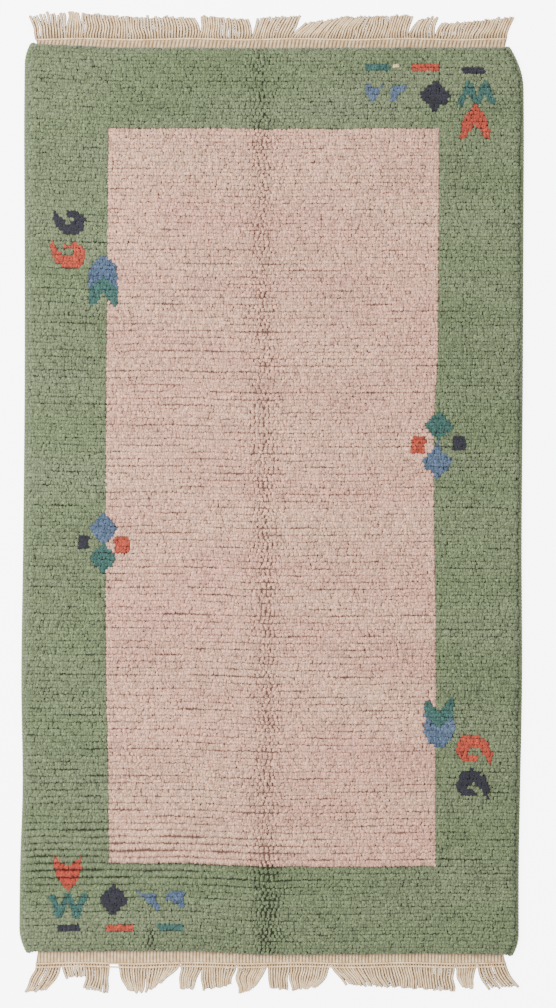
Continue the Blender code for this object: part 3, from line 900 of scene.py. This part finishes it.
tone = 0.5 + chance.normal(0, TONE_CHANCE, shape) + TONE_PATCH * soft_noise(x, y, 0.09, 0.05, 61)
# Carved and parted tufts take painted shade in their tone.
tone += TONE_ROW * soft_noise(0 * x, row, 1.0, 1.0, 62) - CARVED_SHADE * carved - PARTED_SHADE * parted
tone = np.clip(tone, 0, 1)
print("tips stand", round(tip_height.min() / MM, 2), "to", round(tip_height.max() / MM, 2), "mm up")

# %% [markdown]
# One function turns any selection of tufts into a mesh. Each tuft has its own small square of the
# texture map, in a grid of squares, so no two tufts share a texel.

# %% Tuft meshes
ROOT_DEPTH = 2.3 * MM
CELL_FILL = 0.44
CORNERS_OF_SQUARE = ((-1, -1), (1, -1), (1, 1), (-1, 1))
# Root, shoulder and tip: size, fixed height, share of the tip's height, share of the lean, and depth,
# which paints shade: full at the root and slight at the shoulder.
TUFT_RINGS = ((1.0, -ROOT_DEPTH, 0.0, 0.0, 0.0), (0.76, 0.0, 0.3, 0.8, 0.9), (0.0, 0.0, 1.0, 1.0, 1.0))
RAGGED = 0.28 * MM
ABOVE_FLOOR = 0.05 * MM
NEVER_LEVEL = 0.05
TUFT_QUADS = np.array([(k, (k + 1) % 4, 4 + (k + 1) % 4, 4 + k) for k in range(4)])
TUFT_TRIANGLES = np.array([(4 + k, 4 + (k + 1) % 4, 8) for k in range(4)])


def tuft_axes(chosen):
    """Two directions square to each tuft's normal, turned by its twist and as long as its half sizes.

    The first starts near +X, with a small addition that keeps it defined where the normal is level.
    """
    up = normal[chosen]
    side = np.stack([np.abs(up[:, 2]) + NEVER_LEVEL, 0 * up[:, 2], -up[:, 0]], axis=1)
    side -= up * (side * up).sum(axis=1, keepdims=True)
    side /= np.linalg.norm(side, axis=1, keepdims=True)
    long = np.cross(up, side)
    cosine, sine = np.cos(twist[chosen])[:, None], np.sin(twist[chosen])[:, None]
    wide, tall = half_wide[chosen][:, None], half_long[chosen][:, None]
    return (side * cosine + long * sine) * wide, (long * cosine - side * sine) * tall, up


def tuft_piece(name, chosen, material):
    """Tufts where chosen is true: root + size x corner of the square + height x normal + lean.

    Chance pulls each point about a little, more towards the tip, as cut ends are ragged.
    """
    side, long, up = tuft_axes(chosen)
    centre, tip = place[chosen], tip_height[chosen][:, None]
    lean = np.stack([lean_x[chosen], lean_y[chosen], 0 * lean_x[chosen]], axis=1)
    points, painted_light, squares = [], [], []
    for size, fixed, share, bend, depth in TUFT_RINGS:
        for corner_x, corner_y in CORNERS_OF_SQUARE if size else ((0, 0),):
            across = size * (corner_x * side + corner_y * long)
            ragged = chance.normal(0, RAGGED * depth, centre.shape)
            points.append(centre + across + (fixed + share * tip) * up + bend * lean + ragged)
            painted_light.append(depth)
            squares.append((size * corner_x * CELL_FILL, size * corner_y * CELL_FILL))
    count, each = len(centre), len(points)
    per_row = int(np.ceil(np.sqrt(count)))
    cell = np.stack([np.arange(count) % per_row + 0.5, np.arange(count) // per_row + 0.5], axis=1)
    uv = (cell[:, None] + np.array(squares)).reshape(-1, 2) / per_row
    values = {"depth": np.tile(painted_light, count), "tone": np.repeat(tone[chosen], each)}
    faces = [copies_of(TUFT_QUADS, each, count), copies_of(TUFT_TRIANGLES, each, count)]
    points = np.stack(points, axis=1).reshape(-1, 3)
    points[:, 2] = np.maximum(points[:, 2], ABOVE_FLOOR)
    return new_piece(name, points, faces, material, uv, values)


# %% [markdown]
# The tufts go into one piece for each part of the design, so that no piece grows too heavy.

# %% Field, border and figures
FIELD_CUTS = (-160 * MM, 170 * MM)
BESIDE_FIELD = (-506 * MM, 517 * MM)
FIRST_FIGURE_YARN = 2

in_pink, in_green = yarn == YARNS.index("pink"), yarn == YARNS.index("green")
beside_field = (y > BESIDE_FIELD[0]) & (y < BESIDE_FIELD[1])
pile_parts = {
    "field_pile_low": (in_pink & (y < FIELD_CUTS[0]), "pink"),
    "field_pile_middle": (in_pink & (y >= FIELD_CUTS[0]) & (y < FIELD_CUTS[1]), "pink"),
    "field_pile_high": (in_pink & (y >= FIELD_CUTS[1]), "pink"),
    "border_pile_left": (in_green & beside_field & (x < 0), "green"),
    "border_pile_right": (in_green & beside_field & (x >= 0), "green"),
    "border_pile_low": (in_green & ~beside_field & (y < 0), "green"),
    "border_pile_high": (in_green & ~beside_field & (y >= 0), "green"),
}
for name in YARNS[FIRST_FIGURE_YARN:]:
    pile_parts[f"figures_{name}"] = (yarn == YARNS.index(name), name)
pile_pieces = [tuft_piece(name, chosen, wool_of[colour]) for name, (chosen, colour) in pile_parts.items()]

# %% [markdown]
# ## Cotton
#
# The warps are undyed plied cotton: cream, smoother than wool, a little browner where it has been
# handled. The plies of a strand catch the light as fine slanting lines. Cotton fibres are finer than a
# hair, so they are drawn as a bump of 0.6 mm, and the worn stretches are about 6 mm long.


# %% Cotton material
COTTON_WEAR = 6.25 * MM
COTTON_FIBRE = 0.625 * MM


def cotton(name, light, dark, root):
    """Undyed cotton: cream with darker stretches along the yarn, painted shade in the holes, with fine
    fibres.

    Colour = mix of the root's colour, which is painted shade, and cream by depth, times 0.8 to 1.25 by
    tone.
    """
    material, tree, shader = new_material(name, roughness=0.85, sheen=0.15)
    place = add_node(tree, "ShaderNodeTexCoord").outputs["Object"]
    patches = {"Vector": place, "Scale": 1 / COTTON_WEAR, "Detail": 3.0}
    handled = add_node(tree, "ShaderNodeTexNoise", patches).outputs["Fac"]
    worn = add_node(tree, "ShaderNodeMapRange", {"Value": handled, "From Min": 0.35, "From Max": 0.7})
    creams = {"Factor": worn.outputs["Result"], FIRST_COLOUR: linear(light), SECOND_COLOUR: linear(dark)}
    cream = add_node(tree, "ShaderNodeMix", creams, data_type="RGBA").outputs[MIXED]
    colour, own = from_root_to_tip(tree, root, cream, darkest=0.8, lightest=1.25)
    fine = {"Vector": place, "Scale": 1 / COTTON_FIBRE, "Detail": 1.0}
    fibres = add_node(tree, "ShaderNodeTexNoise", fine).outputs["Fac"]
    relief = {"Height": fibres, "Strength": 0.3, "Distance": 0.2 * MM}
    show_fibres(tree, shader, colour, own, relief)
    return material


# The last colour is the root's: painted shade for the band's gaps and holes, the strands' roots and flanks.
warp_cotton = cotton("undyed_plied_cotton", "#fbe2b8", "#dfb785", "#563a1f")
print("cotton:", warp_cotton.name)

# %% [markdown]
# ## The end bands
#
# After the last knots the weaver works a narrow flat band of cotton that locks the pile. The warps show
# as ribs, the gaps between them open into a row of small holes, and twined lines hold the outer edge.
# The gaps and holes are painted dark as shade. Real weaving would take a thread for each warp and weft.
# Seen from above a sheet of grid points is enough: its height is a rib wave across less a dip at each hole.

# %% End bands
# The outer edge's place and slow wave, and how far the band reaches under the pile and narrows there.
BAND_EDGE = {"low": -639.6 * MM, "high": 643.8 * MM}
BAND_CORNER_OUT = 1.6 * MM
BAND_WAVE = 0.8 * MM
BAND_WAVE_LENGTH = 150 * MM
BAND_UNDER = 9.0 * MM
BAND_SIDE_IN = 4.5 * MM
BAND_TOP = 1.7 * MM
BAND_ROWS = 10
# The two ends differ in the pile's shadow, the warps' pitch, the gaps' width and the holes.
BAND_DARKER = {"low": 0.0, "high": 0.5}
WARP_PITCH = {"low": 4.6 * MM, "high": 5.2 * MM}
GAP_SHARE = {"low": 0.66, "high": 0.85}
POINTS_PER_WARP = 9
HOLE_ROW = {"low": 0.30, "high": 0.33}
HOLE_SLANT = {"low": 0.0, "high": 4.5 * MM}
HOLE_SPREAD = 0.16
# In millimetres. The warps rise from a fifth of their height at the outer edge.
WARP_HEIGHT, HOLE_DEPTH = 0.7, 1.3
EDGE_START, EDGE_RISE = 0.2, 6
SHADOW_FROM, SHADOW_GROWS = 0.3, 3
# How much painted shade a gap takes, and how far the deepest painted shade goes towards the root's colour.
GAP_SHADE, DEEPEST_SHADE = 0.9, 0.9
BAND_TONE, BAND_TONE_CHANCE = 0.5, 0.12


def band_edge(end, x):
    """Y of a band's outer edge, with a slow sine wave."""
    return BAND_EDGE[end] + BAND_WAVE * np.sin(2 * np.pi * x / BAND_WAVE_LENGTH)


def band_relief(end, x, inward):
    """Height and painted shade: warps as the root of |cos|, gaps between them, and a dip where a gap opens.
    Gaps and holes are painted dark as shade.

    Inward is 0 at the outer edge and 1 under the pile, whose painted shadow darkens the high end's band.
    """
    phase = (x + HOLE_SLANT[end] * (inward - HOLE_ROW[end])) / WARP_PITCH[end]
    warp = np.abs(np.cos(np.pi * phase))
    gap = np.exp(-((warp / GAP_SHARE[end]) ** 2))
    hole = gap * np.exp(-(((inward - HOLE_ROW[end]) / HOLE_SPREAD) ** 2))
    relief = WARP_HEIGHT * np.sqrt(warp) * np.minimum(1, EDGE_RISE * inward + EDGE_START)
    under_pile = BAND_DARKER[end] * np.clip(SHADOW_GROWS * (inward - SHADOW_FROM), 0, 1)
    painted_shade = np.maximum(np.maximum(hole, GAP_SHADE * gap), under_pile)
    return (relief - HOLE_DEPTH * hole) * MM, painted_shade


def woven_band(end, x_first, x_last):
    """A closed strip: relief on top, flat underneath, from the outer edge to a line under the pile.

    y = outer edge x (1 - inward) + inner line x inward, and each end's inner line follows the pile's end.
    """
    columns = int((x_last - x_first) / WARP_PITCH[end] * POINTS_PER_WARP)
    inward = np.linspace(0, 1, BAND_ROWS)[:, None]
    x = np.linspace(x_first, x_last, columns) * (1 - BAND_SIDE_IN / HALF_WIDTH * inward)
    way = 1 if end == "low" else -1
    inner = end_y(end, np.clip(0.5 + x / (2 * HALF_WIDTH), 0, 1)) + way * BAND_UNDER
    height, painted_shade = band_relief(end, x, inward)
    y = band_edge(end, x) * (1 - inward) + inner * inward
    top = np.stack([x, y, BAND_TOP + height], axis=-1)
    foot = top[[0, -1]].copy()
    foot[..., 2] = ABOVE_FLOOR
    points = np.concatenate([top.reshape(-1, 3), foot.reshape(-1, 3)])
    loop = np.concatenate([np.arange(BAND_ROWS), [BAND_ROWS + 1, BAND_ROWS]]) * columns
    around = grid_faces(len(loop), columns)
    order = (loop[:, None] + np.arange(columns)).ravel()
    last_line, first_line = order[-columns:], order[:columns]
    closing = np.stack([last_line[:-1], last_line[1:], first_line[1:], first_line[:-1]], axis=1)
    faces = np.concatenate([order[around], closing])
    caps = np.stack([loop[::-1], loop + columns - 1])
    if end == "high":
        faces, caps = faces[:, ::-1], caps[:, ::-1]
    u = np.tile(np.linspace(0, 1, columns), BAND_ROWS + 2)
    v = np.repeat(np.append(np.linspace(0, 0.9, BAND_ROWS), [0.99, 0.94]), columns)
    tones = BAND_TONE + BAND_TONE_CHANCE * soft_noise(points[:, 0], points[:, 1], 0.004, 0.01, 71)
    # Painted shade in the gaps, the holes and under the pile lowers the depth towards the root's colour.
    painted_light = np.concatenate([1 - DEEPEST_SHADE * painted_shade.ravel(), np.ones(2 * columns)])
    values = {"depth": painted_light, "tone": tones}
    uv = np.stack([u, v], axis=1)
    return new_piece(f"woven_band_{end}", points, [faces, caps], warp_cotton, uv, values)


# %% [markdown]
# ## The fringe
#
# The fringe is the ends of the warps themselves. They fall in locks that lean together, so the same
# table of locks as in the solids says, in millimetres, where each lock starts, where its tips lie and
# how long it is. Hair curves would be lost in the export, so every strand is a mesh.

# %% Locks of the fringe
# No tip lies further than the reach less the gap from the middle of the rug.
FRINGE_REACH, TIP_GAP = 682 * MM, 0.3 * MM
STRAND_PITCH = 3.9 * MM
STRAND_HEIGHT = 1.5 * MM
# Roots start this far inside the band's edge.
ROOT_IN = 1.2 * MM
# Neighbours sway together by this much; the sway changes over these lengths across and along.
SWAY, SWAY_OVER = 3.2 * MM, (0.036, 0.015)
# What chance adds to a strand: to its tip's place, its length, its curl and its hump.
TIP_SHIFT, LENGTH_SHIFT, CURL, HUMP = 0.4 * MM, 1.0 * MM, 0.24 * MM, 1.3 * MM
# A curl has from 0.8 to 1.8 half waves.
CURL_WAVES = (0.8, 1.8)
# Each lock's first and last root, first and last tip, and first and last length.
LOCKS = {
    "high": (
        (-325, -286, -335, -289, 33, 36),
        (-284, -265, -281, -268, 38, 36),
        (-262, -102, -260, -107, 34, 29),
        (-99, -30, -95, -34, 31, 28),
        (-27, 26, -18, 42, 29, 32),
        (29, 75, 49, 94, 20, 29),
        (77, 190, 97, 196, 31, 32),
        (193, 226, 207, 232, 26, 30),
        (229, 326, 240, 336, 22, 30),
    ),
    "low": (
        (-325, -293, -342, -313, 39, 38),
        (-290, -261, -285, -262, 22, 19),
        (-258, -226, -257, -229, 37, 42),
        (-210, -173, -200, -182, 38, 39),
        (-170, -128, -176, -151, 39, 24),
        (-124, -98, -127, -110, 36, 35),
        (-95, -50, -94, -58, 38, 29),
        (-46, -5, -46, -23, 42, 32),
        (-2, 24, -2, 20, 36, 37),
        (27, 81, 29, 65, 39, 32),
        (84, 252, 107, 251, 29, 39),
        (256, 284, 264, 279, 32, 35),
        (288, 324, 304, 344, 35, 34),
    ),
}


def strand_paths(end, stations, chance):
    """Centre lines of every strand of one end, as t runs from 0 at the root to 1 at the tip.

    Out = reach x t, across = root + (tip - root) x t^1.5 + curl + sway, and up = a low hump. The sway
    grows over the first third.
    """
    way = -1 if end == "low" else 1
    t = np.linspace(0, 1, stations)
    paths = []
    for lock in LOCKS[end]:
        root_from, root_to, tip_from, tip_to, length_from, length_to = np.array(lock) * MM
        count = int(round((root_to - root_from) / STRAND_PITCH)) + 1
        each = (count, 1)
        share = np.linspace(0, 1, count)[:, None]
        root = root_from + share * (root_to - root_from)
        tip = tip_from + share * (tip_to - tip_from) + chance.normal(0, TIP_SHIFT, each)
        length = length_from + share * (length_to - length_from) + chance.normal(0, LENGTH_SHIFT, each)
        edge = band_edge(end, root)
        reach = np.minimum(length, FRINGE_REACH - np.abs(edge) - TIP_GAP)
        bends = np.sin(np.pi * t * chance.uniform(*CURL_WAVES, each))
        y = edge + way * (reach * t - ROOT_IN * (1 - t))
        sway = SWAY * soft_noise(root + 0 * y, y, *SWAY_OVER, 91) * np.minimum(1, 3 * t)
        x = root + (tip - root) * t**1.5 + chance.normal(0, CURL, each) * bends + sway
        lift = chance.uniform(0, HUMP, each) * np.sin(np.pi * t)
        paths.append(np.stack([x, y, STRAND_HEIGHT + lift], axis=-1))
    return np.concatenate(paths)


# %% [markdown]
# A strand is two plies twisted round each other. Each ply is a thin tube whose centre circles the
# strand's own line once in 8 mm. The plies part at the cut end.


# %% Twisted strands
# Each strand's twist starts this many radians on from its neighbour's, and its plies end thinner.
TURN_ON, END_TAPER = 1.9, 0.2
# Shade starts some way down a strand's flank, because the depth above its line is over 1.
TOP_LIGHT = 1.3


def twisted_plies(lines, ply_radius, circle, pitch, sides, flare=0.0, flat=1.0):
    """Tubes of two plies along many lines at once.

    A ply's centre is line + circle x (cos a, sin a) in the plane square to the line, where a grows with
    the distance along it, and the tube is a ring of ply_radius round that centre in the same plane. Flat
    squashes both in height, and flare widens the circle towards the end. Also returns how far each point
    stands aside: 0 over the line and up to 1 at its flanks.
    """
    count, stations = lines.shape[:2]
    step = np.gradient(lines, axis=1)
    run = np.cumsum(np.linalg.norm(step, axis=-1), axis=1)
    tangent = step / np.linalg.norm(step, axis=-1, keepdims=True)
    side = np.cross(tangent, (0, 0, 1.0))
    side /= np.linalg.norm(side, axis=-1, keepdims=True)
    up = flat * np.cross(side, tangent)
    share = np.linspace(0, 1, stations)
    out = circle * (1 + flare * share**6)[None, :, None]
    radius = ply_radius * (1 - END_TAPER * share**8)[None, :, None, None]
    around = np.linspace(0, 2 * np.pi, sides, endpoint=False)[:, None]
    ring = radius * (np.cos(around) * side[:, :, None] + np.sin(around) * up[:, :, None])
    tubes, aside = [], []
    for ply in (0, np.pi):
        angle = (2 * np.pi * run / pitch + TURN_ON * np.arange(count)[:, None] + ply)[..., None]
        centre = lines + out * (np.cos(angle) * side + np.sin(angle) * up)
        tubes.append(centre[:, :, None] + ring)
        offset = (tubes[-1] - lines[:, :, None]) * side[:, :, None]
        aside.append(np.abs(offset.sum(axis=-1)) / (circle + ply_radius))
    points = np.concatenate(tubes)
    points[..., 2] = np.maximum(points[..., 2], ABOVE_FLOOR)
    return points, np.concatenate(aside)


def tube_faces(tubes, stations, sides):
    """Side faces of many tubes, and a cap at each end."""
    caps = np.stack([np.arange(sides)[::-1], np.arange(sides) + (stations - 1) * sides])
    walls = grid_faces(stations, sides, round_rows=True)
    return [copies_of(walls, stations * sides, tubes), copies_of(caps, stations * sides, tubes)]


def tube_map(tubes, stations, sides):
    """Texture map with one narrow upright strip for each tube."""
    u = (np.arange(tubes)[:, None, None] + 0.1 + 0.8 * np.arange(sides) / sides) / tubes
    v = np.linspace(0.01, 0.99, stations)[None, :, None]
    return np.stack(np.broadcast_arrays(u, v), axis=-1).reshape(-1, 2)


def strand_piece(name, points, aside, tones, painted_light, flank_shade):
    """A cotton piece from tubes; tones has one value for each tube and depths one for each station.

    Strands that lie side by side shade each other's flanks: the depth is multiplied by 1.3 - flank_shade
    x aside, and the material holds it between 0 and 1.
    """
    tubes, stations, sides = points.shape[:3]
    flank = TOP_LIGHT - flank_shade * aside
    tone, depth = np.broadcast_arrays(tones[:, None, None], painted_light[None, :, None] * flank)
    values = {"tone": tone.ravel(), "depth": depth.ravel()}
    faces, uv = tube_faces(tubes, stations, sides), tube_map(tubes, stations, sides)
    return new_piece(name, points.reshape(-1, 3), faces, warp_cotton, uv, values)


# %% [markdown]
# Both ends are made the same way. A twined line is a pair of plies laid across the warps. Each end has
# one on its band's outer edge, and the low end has a second one over the roots of the fringe.

# %% Bands, fringes and twined lines
STRAND_STATIONS = 20
TWINE_STATIONS = 700
STRAND = {"ply_radius": 1.95 * MM, "circle": 0.35 * MM, "pitch": 8 * MM, "flare": 0.5, "flat": 0.6}
TWINE = {"ply_radius": 0.8 * MM, "circle": 0.6 * MM, "pitch": 4.6 * MM}
PLY_SIDES = 4
STRAND_TONE, STRAND_TONE_CHANCE, TWINE_TONE = 0.82, 0.16, 0.9
# How strongly the flanks of strands and twined lines are painted with shade.
STRAND_FLANKS, TWINE_FLANKS = 1.75, 0.6
# Painted shade along a strand: how light it is at its root, and how fast it lightens towards its tip.
ROOT_LIGHT, LIGHTENS = 0.45, 1.6
# How far out from the band's edge each twined line lies.
TWINES_OUT = {"low": (0.0, 4.8 * MM), "high": (-0.9 * MM,)}
TWINE_HEIGHT = 3.0 * MM

chance = np.random.default_rng(23)
shade = np.clip(ROOT_LIGHT + LIGHTENS * np.linspace(0, 1, STRAND_STATIONS), 0, 1)
cotton_pieces = []
for end in ("low", "high"):
    lines = strand_paths(end, STRAND_STATIONS, chance)
    first, last = lines[0, 0, 0] - BAND_CORNER_OUT, lines[-1, 0, 0] + BAND_CORNER_OUT
    band = woven_band(end, first, last)
    plies, aside = twisted_plies(lines, sides=PLY_SIDES, **STRAND)
    tones = np.clip(STRAND_TONE + chance.normal(0, STRAND_TONE_CHANCE, len(plies)), 0, 1)
    fringe = strand_piece(f"fringe_{end}", plies, aside, tones, shade, STRAND_FLANKS)
    x = np.linspace(first, last, TWINE_STATIONS)
    way = -1 if end == "low" else 1
    rows = [band_edge(end, x) + way * out for out in TWINES_OUT[end]]
    twines = np.stack([np.stack([x, row, np.full(len(x), TWINE_HEIGHT)], axis=-1) for row in rows])
    plies, aside = twisted_plies(twines, sides=PLY_SIDES, **TWINE)
    tones, unshaded = np.full(len(plies), TWINE_TONE), np.ones(TWINE_STATIONS)
    twine = strand_piece(f"twined_line_{end}", plies, aside, tones, unshaded, TWINE_FLANKS)
    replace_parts(band, f"fringed_band_{end}")
    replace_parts(fringe, f"fringed_band_{end}")
    cotton_pieces += [band, fringe, twine]

# %% [markdown]
# ## The bound sides
#
# Each long side is a bundle of warps wrapped over and over with border wool. A yarn wound round a core
# would hide most of itself, so the wrap is drawn as one flattened tube whose width and height swell once
# for each turn of the yarn, along a helix.

# %% Side cords
# Half the width and half the height.
CORD_HALF = (4.4 * MM, 3.2 * MM)
CORD_INSET = {"left": 5.2 * MM, "right": 3.4 * MM}
WRAP_PITCH = 4.7 * MM
WRAP_SWELL = 0.5 * MM
CORD_STATIONS = 1119
CORD_SIDES = 8
# The ends taper over one part in this many of the length, down to the root of CORD_END.
TAPERED_SHARE, CORD_END = 400, 0.04
# The wrap's tone changes from turn to turn, and its depth, which paints shade, is least between turns.
CORD_TONE, CORD_TONE_CHANCE = 0.70, 0.12
BETWEEN_TURNS = 0.35


def side_cord(side):
    """An oval with half sizes core + swell x |cos(half the helix angle)| along the side's wandering line.

    The ends taper as the root of the distance from them.
    """
    along = np.linspace(0, 1, CORD_STATIONS)
    inward, across = (1, 0.0) if side == "left" else (-1, 1.0)
    x = side_x(side, along) + inward * CORD_INSET[side]
    y = end_y("low", across) + along * (end_y("high", across) - end_y("low", across))
    slope = np.gradient(x, y)[:, None]
    angle = np.linspace(0, 2 * np.pi, CORD_SIDES, endpoint=False)
    swell = np.abs(np.cos(np.pi * y[:, None] / WRAP_PITCH + angle / 2))
    taper = np.sqrt(np.clip(np.minimum(along, 1 - along) * TAPERED_SHARE, CORD_END, 1))[:, None]
    reach = (CORD_HALF[0] + WRAP_SWELL * swell) * np.cos(angle) * taper / np.hypot(1, slope)
    height = CORD_HALF[1] + (CORD_HALF[1] + WRAP_SWELL * swell) * np.sin(angle) * taper
    points = np.stack([x[:, None] + reach, y[:, None] - reach * slope, height], axis=-1)
    points[..., 2] = np.maximum(points[..., 2], ABOVE_FLOOR)
    faces = [part[:, ::-1] for part in tube_faces(1, CORD_STATIONS, CORD_SIDES)]
    turn_by_turn = soft_noise(y[:, None] / WRAP_PITCH, 0 * angle, 1.0, 1.0, 82)
    tones = np.clip(CORD_TONE + CORD_TONE_CHANCE * turn_by_turn, 0, 1)
    # The grooves between turns are painted with shade.
    painted_light = BETWEEN_TURNS + (1 - BETWEEN_TURNS) * swell
    values = {"depth": painted_light, "tone": np.broadcast_to(tones, swell.shape)}
    uv = tube_map(1, CORD_STATIONS, CORD_SIDES)
    name = f"bound_side_{side}"
    piece = new_piece(name, points.reshape(-1, 3), faces, wool_of["green"], uv, values)
    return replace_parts(piece, f"side_cord_{side}")


cords = [side_cord(side) for side in ("left", "right")]
